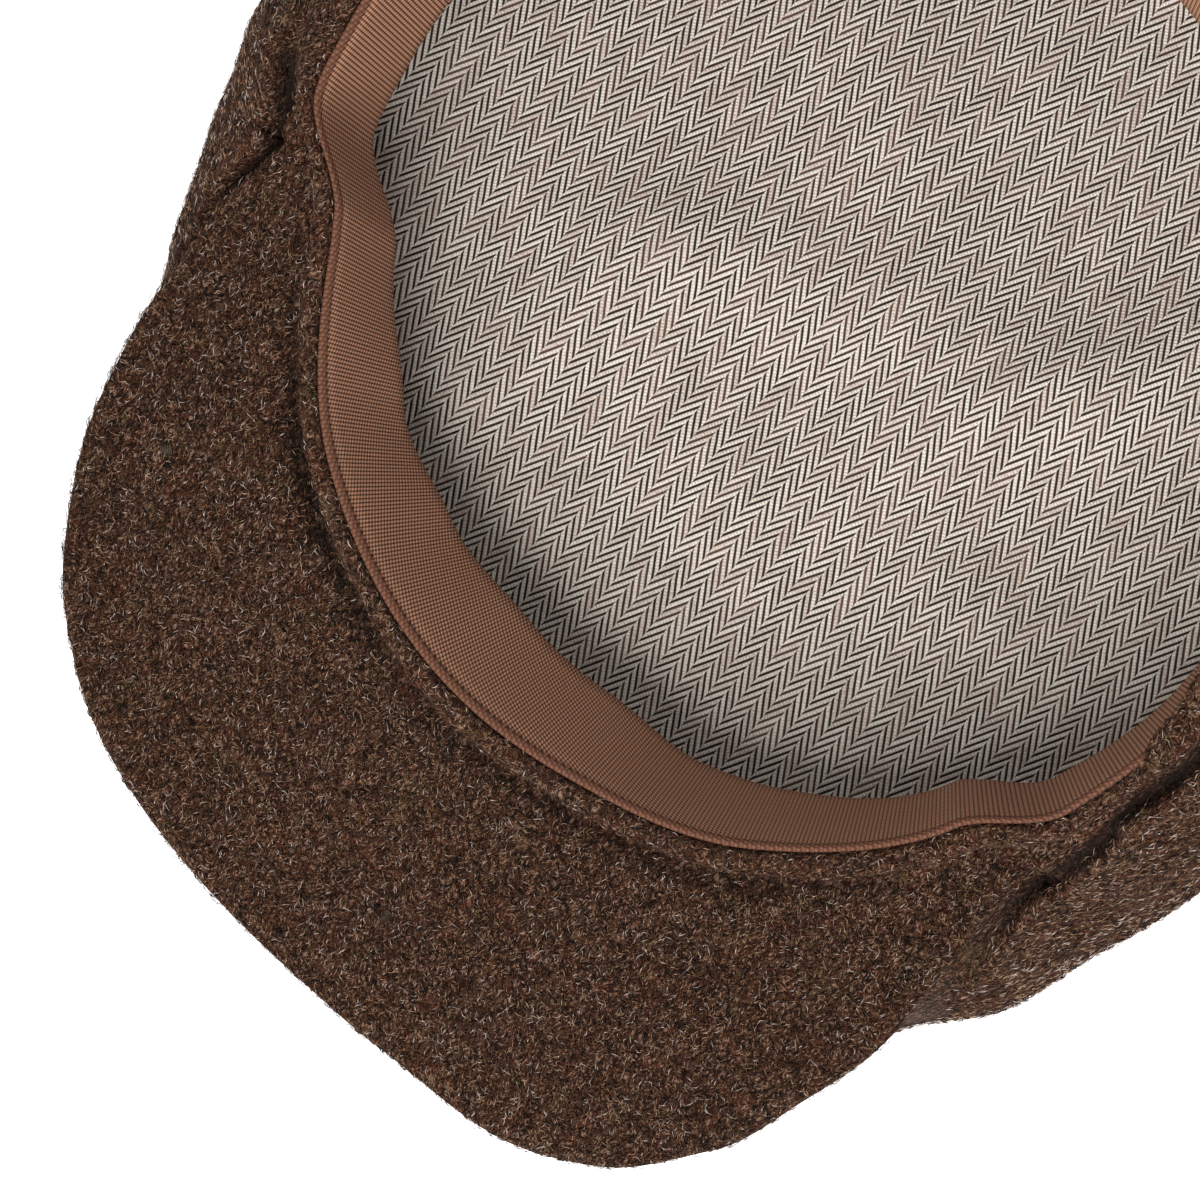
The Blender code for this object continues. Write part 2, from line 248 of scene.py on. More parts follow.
# Fibres of the wool
FIBRES = (
    # name, colour, share of all fibres, and how much more of it lies on the crown
    ("dark fibre", (0.005, 0.0025, 0.0015), 0.33, 0.85),
    ("brown fibre", (0.050, 0.0215, 0.0120), 0.26, 1.0),
    ("russet fibre", (0.068, 0.022, 0.010), 0.15, 1.0),
    ("olive fibre", (0.104, 0.057, 0.023), 0.10, 1.2),
    ("tan fibre", (0.225, 0.138, 0.088), 0.115, 1.7),
    ("grey fibre", (0.350, 0.280, 0.240), 0.045, 2.0),
)

# Naps of fibres, in the order in which they are grown
NAPS = (
    # name, what it grows on, number of fibres, their length, thickness and lift
    # (metres), and spread of their headings
    ("peak_nap", "peak", 33000, 0.0019, 0.00018, 0.0004, 0.8),
    ("peak_loose_fibres", "peak", 22000, 0.0024, 0.00014, 0.0008, 0.8),
    ("crown_nap", "crown", 33000, 0.0020, 0.00018, 0.0005, 1.6),
    ("crown_loose_fibres", "crown", 18000, 0.0025, 0.00013, 0.0008, 1.6),
    ("rolled_edge_nap", "roll", 9000, 0.0018, 0.00016, 0.0005, 1.6),
)

# Camera
CAMERA_TURN = math.radians(95.69)
CAMERA_RISE = math.radians(78.33)
CAMERA_ROLL = math.radians(-51.71)
CAMERA_DISTANCE = 1.5434
CAMERA_LENS = 268.98
CAMERA_AIM = Vector((0.00635, -0.04317, 0.05))

# Light
SKY_STRENGTH = 0.78
LAMP_POWER = 35.0
LAMP_PLACE = Vector((0.42, -0.74, 1.12))

MIDDLE_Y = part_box("sweatband")[1].y - (OPENING_LENGTH - FRONT_RADIUS - SEAM_GAP)


def ease(low, high, value):
    """0 below low, 1 above high, and a smooth step between them."""
    share = min(max((value - low) / (high - low), 0.0), 1.0)
    return share * share * (3.0 - 2.0 * share)


def mix(first, second, share):
    return first + (second - first) * share


def hump(value, middle, spread):
    """1 at the middle, with a soft fall to both sides."""
    return np.exp(-((value - middle) / spread) ** 2)


def wrapped(turn):
    """The same turn, from -pi to pi."""
    return math.remainder(turn, math.tau)


def from_table(rows, turn):
    """Smooth value of a two-column table at a turn."""
    degrees = math.degrees(wrapped(turn))
    for (low, first), (high, second) in zip(rows, rows[1:]):
        if degrees <= high:
            return mix(first, second, ease(low, high, degrees))
    return rows[-1][1]


def plan_point(radius, turn, height):
    return Vector((radius * math.sin(turn), -radius * math.cos(turn), height))


def turn_of(point):
    return math.atan2(point.x, -point.y)


def even_turns(count):
    return [math.tau * step / count for step in range(count)]


def spread_evenly(points, count):
    """The same line through count points at even distances."""
    lengths = [0.0]
    for start, end in zip(points, points[1:]):
        lengths.append(lengths[-1] + (end - start).length)
    placed = []
    segment = 0
    for step in range(count):
        target = lengths[-1] * step / (count - 1)
        while segment < len(points) - 2 and lengths[segment + 1] < target:
            segment += 1
        share = (target - lengths[segment]) / (lengths[segment + 1] - lengths[segment])
        placed.append(points[segment].lerp(points[segment + 1], min(share, 1.0)))
    return placed


def rim_radius(turn):
    """Distance from the middle of the opening to the seam of the sweatband."""
    off_front = abs(wrapped(turn))
    across = math.sin(turn) / (OPENING_WIDTH / 2.0)
    along = math.cos(turn) / (OPENING_LENGTH - FRONT_RADIUS)
    oval = 1.0 / math.hypot(across, along)
    step = ease(PEAK_END_TURN - BAND_STEP_TURN, PEAK_END_TURN + BAND_STEP_TURN, off_front)
    front = FRONT_RADIUS + FRONT_SPREAD * ease(0.0, PEAK_END_TURN, off_front)
    return mix(front, oval, step) + ROLL_WIDTH * from_table(RIM_SHIFTS, turn)


def rim_height(turn):
    """Height of the top of the rim, which slopes up from the front to the back."""
    back = FRONT_RADIUS - rim_radius(turn) * math.cos(turn)
    return mix(RIM_HEIGHT_FRONT, RIM_HEIGHT_BACK, back / OPENING_LENGTH)


def roll_width(turn):
    return ROLL_WIDTH * from_table(ROLL_WIDTHS, turn)


def roll_reach(turn):
    """Distance from the middle of the opening to the outside of the rolled edge."""
    return rim_radius(turn) + roll_width(turn)


def under_roll(turn):
    return rim_height(turn) - ROLL_HEIGHT - SEAM_GAP


def peak_base(turn):
    """Inner edge of the peak, hidden under the rolled edge."""
    inner = rim_radius(turn) + LINING_THICKNESS + SEAM_GAP + PEAK_THICKNESS / 2.0
    return plan_point(inner, turn, under_roll(turn))


def peak_outline():
    """Edge of the peak from one end to the other, at even distances."""
    half = PEAK_WIDTH / 2.0
    end_back = -half / math.tan(PEAK_END_TURN)
    corner_back = end_back - PEAK_SIDE_RUN
    depth = FRONT_RADIUS + PEAK_LENGTH + corner_back
    power = 2.0 / PEAK_SQUARENESS
    steps = 2 * PEAK_STATIONS
    edge = [Vector((half, end_back, 0.0))]
    for step in range(steps + 1):
        angle = math.pi / 2.0 * (1.0 - step / steps)
        across = half * math.sin(angle) ** power
        back = corner_back - depth * max(math.cos(angle), 0.0) ** power
        edge.append(Vector((across, back, 0.0)))
    other_side = [Vector((-point.x, point.y, 0.0)) for point in reversed(edge[:-1])]
    outline = spread_evenly(edge + other_side, PEAK_STATIONS)
    end_height = under_roll(PEAK_END_TURN)
    for index, point in enumerate(outline):
        share = abs(1.0 - 2.0 * index / (PEAK_STATIONS - 1))
        point.rotate(Matrix.Rotation(PEAK_TWIST * (1.0 - share ** 3), 3, "Z"))
        point.z = mix(PEAK_FRONT_HEIGHT, end_height, share ** PEAK_CURL)
        turn = turn_of(point)
        shift = PEAK_THICKNESS * from_table(PEAK_EDGE_SHIFTS, turn)
        point += plan_point(shift, turn, 0.0)
    return outline


def peak_rulings():
    """Straight lines across the peak: inner point, unit direction, length and normal."""
    outline = peak_outline()
    inner = []
    for index in range(PEAK_STATIONS):
        inner.append(peak_base(PEAK_END_TURN * (1.0 - 2.0 * index / (PEAK_STATIONS - 1))))
    rulings = []
    for index, (start, end) in enumerate(zip(inner, outline)):
        before = max(index - 1, 0)
        after = min(index + 1, PEAK_STATIONS - 1)
        along = (outline[after] - outline[before]) + (inner[after] - inner[before])
        outward = (end - start).normalized()
        normal = outward.cross(along).normalized()
        if normal.z < 0.0:
            normal.negate()
        length = (end - start).length - PEAK_THICKNESS / 2.0
        rulings.append((start, outward, length, normal))
    return rulings


def peak_tail(side, outline):
    """Rulings that carry the edge of the peak on until it slips under the rolled edge."""
    corner = outline[0] if side > 0.0 else outline[-1]
    first = turn_of(corner)
    rulings = []
    for step in range(1, TAIL_STEPS + 1):
        share = step / TAIL_STEPS
        turn = mix(first, side * PEAK_TAIL_TURN, share)
        base = min(rim_radius(turn) + 0.8 * ROLL_WIDTH, roll_reach(turn) - TAIL_INSET)
        reach = mix(corner.xy.length, roll_reach(turn) - TAIL_ROUND, share)
        rulings.append((plan_point(base, turn, under_roll(turn)), plan_point(1.0, turn, 0.0),
                        reach - base - TAIL_ROUND, UP))
    return rulings


def crown_reach(turn):
    """Distance from the middle of the opening to the widest line of the crown."""
    sine, cosine = math.sin(turn), -math.cos(turn)
    middle = CROWN_WIDEST_BACK
    back = OPENING_LENGTH - FRONT_RADIUS + CROWN_BACK_OVERHANG - middle
    front = FRONT_RADIUS + PEAK_LENGTH - CROWN_SETBACK + middle
    reach = 0.0
    for depth, sign in ((back, 1.0), (front, -1.0)):
        square = (sine / (CROWN_WIDTH / 2.0)) ** 2 + (cosine / depth) ** 2
        linear = -2.0 * middle * cosine / depth ** 2
        rest = (middle / depth) ** 2 - 1.0
        root = (-linear + math.sqrt(linear ** 2 - 4.0 * square * rest)) / (2.0 * square)
        if sign * (root * cosine - middle) >= 0.0:
            reach = root
    for degrees, spread, depth in CROWN_DENTS:
        off = math.degrees(wrapped(turn - math.radians(degrees)))
        reach -= depth * CROWN_BACK_OVERHANG * hump(off, 0.0, spread)
    return reach + ROLL_HEIGHT * from_table(CROWN_SHIFTS, turn)


def crown_edge_on_peak(ruling):
    """Where the crown is caught to the hidden side of the peak."""
    start, outward, length, normal = ruling
    low, high = 0.0, 0.75
    for _ in range(24):
        share = (low + high) / 2.0
        point = start + outward * length * share
        reach = crown_reach(turn_of(point)) - CROWN_TURN_IN
        if math.hypot(point.x, point.y) > reach:
            high = share
        else:
            low = share
    return start + outward * length * low - normal * (PEAK_THICKNESS + SEAM_GAP)


def crown_edge(rulings):
    """Upper edge of the crown, once around from one end of the peak."""
    under_peak = [crown_edge_on_peak(ruling) for ruling in rulings]
    behind_peak = PEAK_END_TURN + 2.0 * SEAM_GAP / FRONT_RADIUS
    arc = 2.0 * (math.pi - behind_peak)
    around_back = []
    for step in range(PEAK_STATIONS):
        turn = -behind_peak - arc * step / (PEAK_STATIONS - 1)
        sunk = PEAK_THICKNESS * (1.0 - ease(PEAK_END_TURN, PEAK_TAIL_TURN, abs(wrapped(turn))))
        around_back.append(plan_point(roll_reach(turn) - SEAM_GAP, turn, under_roll(turn) - sunk))
    once = under_peak + around_back
    return spread_evenly(once + once[:1], CROWN_STATIONS + 1)[:-1]


def softened(edge, reach):
    """A closed edge with each point moved to the middle of its neighbours."""
    count = len(edge)
    total = Vector((0.0, 0.0, 0.0))
    for step in range(-reach, reach + 1):
        total += edge[step % count]
    soft = []
    for index in range(count):
        soft.append(total / (2 * reach + 1))
        total = total - edge[(index - reach) % count] + edge[(index + reach + 1) % count]
    return soft


def cloth_waver(turn, height):
    """Gentle unevenness of the soft crown, from -1 to 1."""
    return (0.5 * math.sin(5.0 * turn + 60.0 * height + 0.7)
            + 0.3 * math.sin(11.0 * turn - 85.0 * height + 2.1)
            + 0.2 * math.sin(19.0 * turn + 40.0 * height))


def past_peak(points, outline):
    """Distance of points outside the edge of the peak, seen from above."""
    line = np.array([point[:2] for point in outline])
    along = np.gradient(line, axis=0)
    along /= np.linalg.norm(along, axis=1)[:, None]
    outward = np.stack([-along[:, 1], along[:, 0]], 1)
    outward *= np.sign((outward * line).sum(1))[:, None]
    apart = np.array([point[:2] for point in points])[:, None, :] - line[None]
    nearest = (apart ** 2).sum(2).argmin(1)
    apart = apart[np.arange(len(points)), nearest]
    level = (apart * outward[nearest]).sum(1)
    ends = (nearest == 0) | (nearest == len(line) - 1)
    return np.where(ends, np.sign(level) * np.linalg.norm(apart, axis=1), level)


def floor_round(reach, waist, steps):
    """Angle, distance out and height of the round from the widest line down to the floor."""
    for step in range(steps + 1):
        angle = math.pi / 2.0 * step / steps
        yield (angle, reach - CROWN_FLOOR_ROUND * (1.0 - math.cos(angle)),
               waist * (1.0 - math.sin(angle)))


def crown_profile(edge, soft, outline):
    """Outside of the crown from its upper edge to the floor, and how far out each point lies.

    It is led by the softened edge. Beside the rolled edge and the peak it dips into a
    crease, and past the crease it swells.
    """
    turn = turn_of(edge)
    radius = math.hypot(edge.x, edge.y)
    reach = crown_reach(turn)
    waist = CROWN_WAIST * soft.z
    out, drop = reach - radius, soft.z - waist
    handles = (
        (radius, edge.z),
        (radius + 0.60 * out, min(edge.z, soft.z) - 0.15 * drop),
        (reach, soft.z - 0.45 * drop),
        (reach, waist),
    )
    shares = [(step / CROWN_ROWS) ** CROWN_ROW_POWER for step in range(CROWN_ROWS)]
    profile = []
    for share in shares:
        rest = 1.0 - share
        weights = (rest ** 3, 3 * rest ** 2 * share, 3 * rest * share ** 2, share ** 3)
        across, height = (sum(weight * handle[axis] for weight, handle in zip(weights, handles))
                          for axis in range(2))
        profile.append(plan_point(across, turn, height))
    past_rim = [point.xy.length - roll_reach(turn) for point in profile]
    outside = list(np.minimum(past_peak(profile, outline), past_rim))
    swell = ROLL_HEIGHT * from_table(CROWN_SWELLS, turn)
    away = plan_point(1.0, turn, 0.0)
    for share, point, past in zip(shares, profile, outside):
        rise = ease(CREASE_MIDDLE, CREASE_END, past) * (1.0 - ease(0.15, 0.75, share))
        dip = CREASE_DEPTH * hump(past, CREASE_MIDDLE, CREASE_SPREAD)
        point.z += swell * (rise - dip)
        waver = SIDE_WAVER * cloth_waver(turn, point.z) * ease(0.2, 0.6, share)
        point += away * (waver - 0.0004 * ease(0.0, 0.5, share))
    for angle, across, height in floor_round(reach, waist, CROWN_ROWS // 2):
        across += FLOOR_WAVER * cloth_waver(turn, height) * math.cos(angle)
        profile.append(plan_point(across, turn, height))
        outside.append(0.02)
    profile[-1].z = 0.0
    for share in FLOOR_RINGS:
        profile.append(plan_point(share * (reach - CROWN_FLOOR_ROUND), turn, 0.0))
        outside.append(0.0)
    return profile, outside


def fold_lift(point, rows):
    """Height that the ridges of a table add to the lining at a point."""
    half = OPENING_LENGTH / 2.0
    lift = 0.0
    for across, back, heading, length, breadth, height in rows:
        angle = math.radians(heading)
        right = point.x / half - across
        away = point.y / half - back
        along = right * math.cos(angle) + away * math.sin(angle)
        off = away * math.cos(angle) - right * math.sin(angle)
        lift += height * LINING_FOLD_HEIGHT * hump(along, 0.0, length) * hump(off, 0.0, breadth)
    return lift


def lining_profile(turn, edge_heights):
    """Outside of the lining, from the seam of the sweatband down along the crown."""
    seam = rim_radius(turn) + LINING_THICKNESS / 2.0
    reach = mix(seam, crown_reach(turn), LINING_FULLNESS)
    floor = CROWN_WALL + LINING_CLEARANCE
    waist = CROWN_WAIST * float(np.interp(wrapped(turn), *edge_heights))
    fall = [Vector((mix(seam, reach, out), mix(floor + waist, under_roll(turn), up), 0.0))
            for out, up in LINING_FALL]
    profile = [plan_point(point.x, turn, point.y)
               for point in spread_evenly(fall, LINING_FALL_ROWS)[:-1]]
    for _, across, height in floor_round(reach, waist, LINING_ROUND_STEPS):
        profile.append(plan_point(across, turn, floor + height))
    for step in range(1, LINING_FLOOR_ROWS + 1):
        inwards = step / (LINING_FLOOR_ROWS + 1.5)
        point = plan_point((1.0 - inwards) * (reach - CROWN_FLOOR_ROUND), turn, floor)
        point.z += fold_lift(point, LINING_FOLDS) * ease(0.0, 0.16, inwards)
        profile.append(point)
    return profile


def add_object(name, data):
    made = bpy.data.objects.new(name, data)
    bpy.context.scene.collection.objects.link(made)
    return made


def riding_piece(name, mesh, replaces=None):
    """Piece of a finished mesh, which rides on the cap."""
    piece = add_object(name, mesh)
    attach(piece, "root")
    if replaces:
        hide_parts(replaces)
    return piece


def new_mesh(name, points, faces, materials, kinds=None):
    """Smooth mesh, with the number of each face's material if there are several."""
    mesh = bpy.data.meshes.new(name)
    mesh.from_pydata(points, [], faces)
    for material in materials:
        mesh.materials.append(material)
    if kinds is not None:
        mesh.polygons.foreach_set("material_index", kinds.astype(np.int32))
    mesh.validate()
    mesh.shade_smooth()
    return mesh


def new_piece(name, points, faces, materials, replaces, kinds=None):
    """Closed piece, moved from the opening's middle into place."""
    mesh = new_mesh(name, points, faces, materials, kinds)
    mesh.transform(Matrix.Translation((0.0, MIDDLE_Y, 0.0)))
    outwards = bmesh.new()
    outwards.from_mesh(mesh)
    bmesh.ops.recalc_face_normals(outwards, faces=outwards.faces)
    outwards.to_mesh(mesh)
    outwards.free()
    return riding_piece(name, mesh, replaces)


def strip_faces(count, rows, closed_around, closed_across, first=0):
    """Quads between neighbouring sections of rows points each."""
    faces = []
    around = count if closed_around else count - 1
    across = rows if closed_across else rows - 1
    for station in range(around):
        here = first + station * rows
        there = first + (station + 1) % count * rows
        for row in range(across):
            after = (row + 1) % rows
            faces.append((here + row, here + after, there + after, there + row))
    return faces


def shell_mesh(profiles, pole, wall):
    """Points and faces of a bowl of an even wall, from its outside profiles and its pole."""
    count, rows = len(profiles), len(profiles[0])
    outer, inner = [], []
    for profile in profiles:
        away = Vector((profile[0].x, profile[0].y, 0.0)).normalized()
        for row, point in enumerate(profile):
            lower = profile[row + 1] if row + 1 < rows else pole
            fall = lower - profile[max(row - 1, 0)]
            outward = away * -fall.z + UP * fall.dot(away)
            outer.append(point)
            inner.append(point - outward.normalized() * wall)
    points = outer + inner + [pole, pole + UP * wall]
    size = count * rows
    faces = [face[::-1] for face in strip_faces(count, rows, True, False)]
    faces += strip_faces(count, rows, True, False, size)
    for station in range(count):
        here, there = station * rows, (station + 1) % count * rows
        faces.append((here, there, size + there, size + here))
        faces.append((there + rows - 1, here + rows - 1, 2 * size))
        faces.append((size + here + rows - 1, size + there + rows - 1, 2 * size + 1))
    return points, faces


def pattern_group(name, colours):
    """Shader node group from coordinates and named colours to a colour and a height.

    It comes with the sockets that it is given and those that it has to make.
    """
    group = bpy.data.node_groups.new(name, "ShaderNodeTree")
    add = group.interface.new_socket
    add(name="Coordinates", in_out="INPUT", socket_type="NodeSocketVector")
    for label, colour in colours:
        socket = add(name=label, in_out="INPUT", socket_type="NodeSocketColor")
        socket.default_value = (*colour, 1.0)
    add(name="Color", in_out="OUTPUT", socket_type="NodeSocketColor")
    add(name="Height", in_out="OUTPUT", socket_type="NodeSocketFloat")
    given = group.nodes.new("NodeGroupInput").outputs
    return group, given, group.nodes.new("NodeGroupOutput").inputs


def finished(group, made, colour, height):
    """The group with its colour and height joined to its outputs."""
    group.links.new(colour, made["Color"])
    group.links.new(height, made["Height"])
    return group


def add_node(tree, kind, inputs, **settings):
    """Outputs of a new node. Each of its inputs is joined to a socket or given a value."""
    node = tree.nodes.new("ShaderNode" + kind)
    for name, value in settings.items():
        setattr(node, name, value)
    for label, value in inputs.items():
        if isinstance(value, bpy.types.NodeSocket):
            tree.links.new(value, node.inputs[label])
        else:
            node.inputs[label].default_value = value
    return node.outputs


def calculate(tree, operation, *values):
    """Result of a math node on sockets or numbers."""
    return add_node(tree, "Math", dict(enumerate(values)), operation=operation)[0]


def blend_colours(tree, share, first, second):
    """Mixed colour of two sockets or colours."""
    inputs = {0: share, 6: first, 7: second}
    return add_node(tree, "Mix", inputs, data_type="RGBA")[2]


def noise_value(tree, coordinates, scale, detail=2.0, roughness=0.5, output="Fac"):
    inputs = {"Vector": coordinates, "Scale": scale, "Detail": detail, "Roughness": roughness}
    return add_node(tree, "TexNoise", inputs)[output]


def squeezed(tree, coordinates, turn):
    """Coordinates squeezed along one heading, which draws noise out into streaks."""
    inputs = {"Vector": coordinates, "Rotation": (0.0, 0.0, turn), "Scale": (4.0, 1.0, 1.0)}
    return add_node(tree, "Mapping", inputs, vector_type="TEXTURE")["Vector"]


def stepped(tree, value, low, high):
    """Smooth step of a value between two levels."""
    inputs = {"Value": value, "From Min": low, "From Max": high}
    return add_node(tree, "MapRange", inputs, interpolation_type="SMOOTHSTEP")["Result"]


def whole_and_rest(tree, value):
    """The whole number under a value, and what is left of it."""
    whole = calculate(tree, "FLOOR", value)
    return whole, calculate(tree, "SUBTRACT", value, whole)


def apart(tree, first, second):
    """Distance between two values."""
    return calculate(tree, "ABSOLUTE", calculate(tree, "SUBTRACT", first, second))


def wave(tree, value, beats=1.0):
    """Wave from 0 to 1 over a value."""
    sine = calculate(tree, "SINE", calculate(tree, "MULTIPLY", value, math.tau * beats))
    return calculate(tree, "MULTIPLY_ADD", sine, 0.5, 0.5)


def two_axes(tree, coordinates):
    return add_node(tree, "SeparateXYZ", {0: coordinates})[:2]


def melange_group():
    """Milled wool of mixed fibres: short curled streaks of several browns over dark gaps."""
    group, given, made = pattern_group("melange wool", (
        ("Dark", (0.004, 0.002, 0.0012)),
        ("Brown", (0.032, 0.014, 0.008)),
        ("Russet", (0.044, 0.0135, 0.006)),
        ("Olive", (0.048, 0.026, 0.0115)),
        ("Tan", (0.165, 0.102, 0.068)),
    ))
    calc = partial(calculate, group)
    where = given["Coordinates"]
    curl = noise_value(group, where, 520.0, 1.0, output="Color")
    centred = add_node(group, "VectorMath", {0: curl, 1: (0.5, 0.5, 0.5)}, operation="SUBTRACT")
    inputs = {0: centred[0], 1: (WOOL_CURL, WOOL_CURL, WOOL_CURL), 2: where}
    curled = add_node(group, "VectorMath", inputs, operation="MULTIPLY_ADD")[0]
    first, second, third = (
        noise_value(group, squeezed(group, curled, math.radians(heading)), scale, 1.0)
        for heading, scale in WOOL_STREAKS)
    streaks = calc("MAXIMUM", calc("MAXIMUM", first, second), third)
    colour = given["Brown"]
    for label, scale, detail, low, high in (("Russet", 190.0, 3.0, 0.42, 0.62),
                                            ("Olive", 130.0, 4.0, 0.53, 0.70)):
        patches = stepped(group, noise_value(group, where, scale, detail, 0.6), low, high)
        colour = blend_colours(group, patches, colour, given[label])
    colour = blend_colours(group, stepped(group, streaks, 0.46, 0.60), given["Dark"], colour)
    flecks = calc("MULTIPLY", stepped(group, streaks, 0.61, 0.72), 0.8)
    colour = blend_colours(group, flecks, colour, given["Tan"])
    return finished(group, made, colour, streaks)


def herringbone_group():
    """Herringbone twill on flat coordinates in metres: columns along the second axis."""
    group, given, made = pattern_group("herringbone twill", (
        ("Cream", (0.56, 0.52, 0.46)),
        ("Taupe", (0.31, 0.235, 0.20)),
        ("Dark", (0.016, 0.010, 0.007)),
        ("Russet", (0.075, 0.040, 0.030)),
    ))
    calc = partial(calculate, group)
    where = given["Coordinates"]
    waver = noise_value(group, where, 300.0)
    across, along = (calc("MULTIPLY_ADD", waver, TWILL_WAVER, axis)
                     for axis in two_axes(group, where))
    number, inside = whole_and_rest(group, calc("DIVIDE", across, HERRINGBONE_COLUMN))
    odd = calc("FLOORED_MODULO", number, 2.0)
    there_and_back = apart(group, inside, odd)
    steps = calc("DIVIDE", along, HERRINGBONE_REPEAT)
    phase = calc("MULTIPLY_ADD", there_and_back, 2.0, steps)
    stroke, share = whole_and_rest(group, calc("MULTIPLY_ADD", odd, 0.5, phase))
    pale = stepped(group, apart(group, share, 0.5), 0.37, 0.25)
    pale_round = calc("SINE", calc("MULTIPLY", share, math.pi))
    backwards = calc("SUBTRACT", steps, calc("MULTIPLY", there_and_back, 0.75))
    bead = wave(group, backwards, TWILL_BEADS)
    stroke_name = add_node(group, "CombineXYZ", {0: stroke, 1: number})[0]
    lot = add_node(group, "TexWhiteNoise", {"Vector": stroke_name}, noise_dimensions="3D")
    lots = add_node(group, "SeparateColor", {0: lot["Color"]})
    speckle = stepped(group, noise_value(group, where, 2600.0, 2.0, 0.6), 0.44, 0.64)
    taupe_share = calc("MULTIPLY", stepped(group, lots[0], 0.2, 1.0), 0.35)
    taupe_share = calc("MULTIPLY_ADD", speckle, 0.6, taupe_share)
    light = blend_colours(group, taupe_share, given["Cream"], given["Taupe"])
    shade = calc("MULTIPLY", calc("SUBTRACT", 1.0, bead), 0.28)
    light = blend_colours(group, shade, light, given["Russet"])
    russet_share = stepped(group, lots[1], 0.5, 1.0)
    dark = blend_colours(group, russet_share, given["Dark"], given["Russet"])
    colour = blend_colours(group, pale, dark, light)
    height = calc("MULTIPLY", pale, calc("MULTIPLY_ADD", bead, 0.35, pale_round))
    return finished(group, made, colour, height)


def ribbed_group():
    """Thread beads of a ribbed band: first axis counts ribs, second is metres across."""
    group, given, made = pattern_group("ribbed band", (
        ("Light", (0.385, 0.195, 0.120)),
        ("Deep", (0.018, 0.007, 0.004)),
    ))
    calc = partial(calculate, group)
    ribs, across = two_axes(group, given["Coordinates"])
    rib, inside = whole_and_rest(group, ribs)
    ridge = calc("SINE", calc("MULTIPLY", inside, math.pi))
    odd = calc("FLOORED_MODULO", rib, 2.0)
    thread = calc("MULTIPLY_ADD", across, 1.0 / THREAD_BEAD, calc("MULTIPLY", odd, 0.5))
    bead = wave(group, calc("MULTIPLY_ADD", inside, 0.4, thread))
    tone = calc("MULTIPLY", calc("POWER", ridge, 0.9), calc("MULTIPLY_ADD", bead, 1.10, 0.22))
    speckle = noise_value(group, given["Coordinates"], 3.0, 2.0, 0.6)
    groove = stepped(group, apart(group, across, STITCH_LINE), 0.00036, 0.00018)
    stitch = apart(group, calc("FRACT", calc("DIVIDE", ribs, STITCH_RIBS)), 0.5)
    groove = calc("MULTIPLY", groove, stepped(group, stitch, 0.18, 0.32))
    worn = stepped(group, across, *BAND_WORN)
    for share, strength, least in ((speckle, 0.9, 0.62), (groove, -0.75, 1.0), (worn, -0.25, 1.0)):
        tone = calc("MULTIPLY", tone, calc("MULTIPLY_ADD", share, strength, least))
    colour = blend_colours(group, tone, given["Deep"], given["Light"])
    height = calc("MULTIPLY", ridge, calc("MULTIPLY_ADD", bead, 0.6, 0.4))
    return finished(group, made, colour, height)


def new_material(name, roughness):
    """Matt material of cloth or thread, and its shader."""
    material = bpy.data.materials.new(name)
    material.use_nodes = True
    shader = material.node_tree.nodes["Principled BSDF"]
    shader.inputs["Roughness"].default_value = roughness
    shader.inputs["Specular IOR Level"].default_value = CLOTH_GLOSS
    return material, shader


def patterned_material(name, group, roughness, source, bump, colours=(), crease=None):
    """Material of one pattern group, on the piece's own UVs or its place in space.

    With a crease colour, it blends that colour in as painted shade, as strongly as the piece's
    points are marked for shade in their creases.
    """
    material, shader = new_material(name, roughness)
    tree = material.node_tree
    inputs = {label: (*colour, 1.0) for label, colour in colours}
    inputs["Coordinates"] = add_node(tree, "TexCoord", {})[source]
    pattern = add_node(tree, "Group", inputs, node_tree=group)
    colour = pattern["Color"]
    if crease:
        # Painted shade: the crease colour is blended in by each point's mark of painted shade
        painted_shade_share = add_node(tree, "Attribute", {}, attribute_name="crease")["Fac"]
        colour = blend_colours(tree, painted_shade_share, colour, (*crease, 1.0))
    relief = {"Strength": 1.0, "Distance": bump, "Height": pattern["Height"]}
    tree.links.new(colour, shader.inputs["Base Color"])
    tree.links.new(add_node(tree, "Bump", relief)["Normal"], shader.inputs["Normal"])
    return material


def plain_material(name, colour, roughness):
    material, shader = new_material(name, roughness)
    shader.inputs["Base Color"].default_value = (*colour, 1.0)
    return material


def set_uv(piece, vertex_uv, wrap=0.0):
    """UVs from a value at each vertex, closed over the wrap length around the ring."""
    mesh = piece.data
    uv = np.array(vertex_uv, float)[read(mesh.loops, "vertex_index", kind=np.int32)]
    if wrap:
        starts, corners = (read(mesh.polygons, field, kind=np.int32)
                           for field in ("loop_start", "loop_total"))
        highest = np.repeat(np.maximum.reduceat(uv[:, 0], starts), corners)
        uv[:, 0] += wrap * (uv[:, 0] < highest - wrap / 2.0)
    layer = mesh.uv_layers.new(name="pattern")
    layer.data.foreach_set("uv", uv.astype(np.float32).ravel())


def make_crown(edge, outline, wool):
    """The crown, and how far out past the rim each of its points lies."""
    made = [crown_profile(point, soft, outline)
            for point, soft in zip(edge, softened(edge, CROWN_SOFTNESS))]
    outside = [past for _, row in made for past in row]
    points, faces = shell_mesh([profile for profile, _ in made], Vector(), CROWN_WALL)
    piece = new_piece("crown_cloth", points, faces, [wool], "crown")
    return piece, np.array(outside + [0.0] * (len(points) - len(outside)))


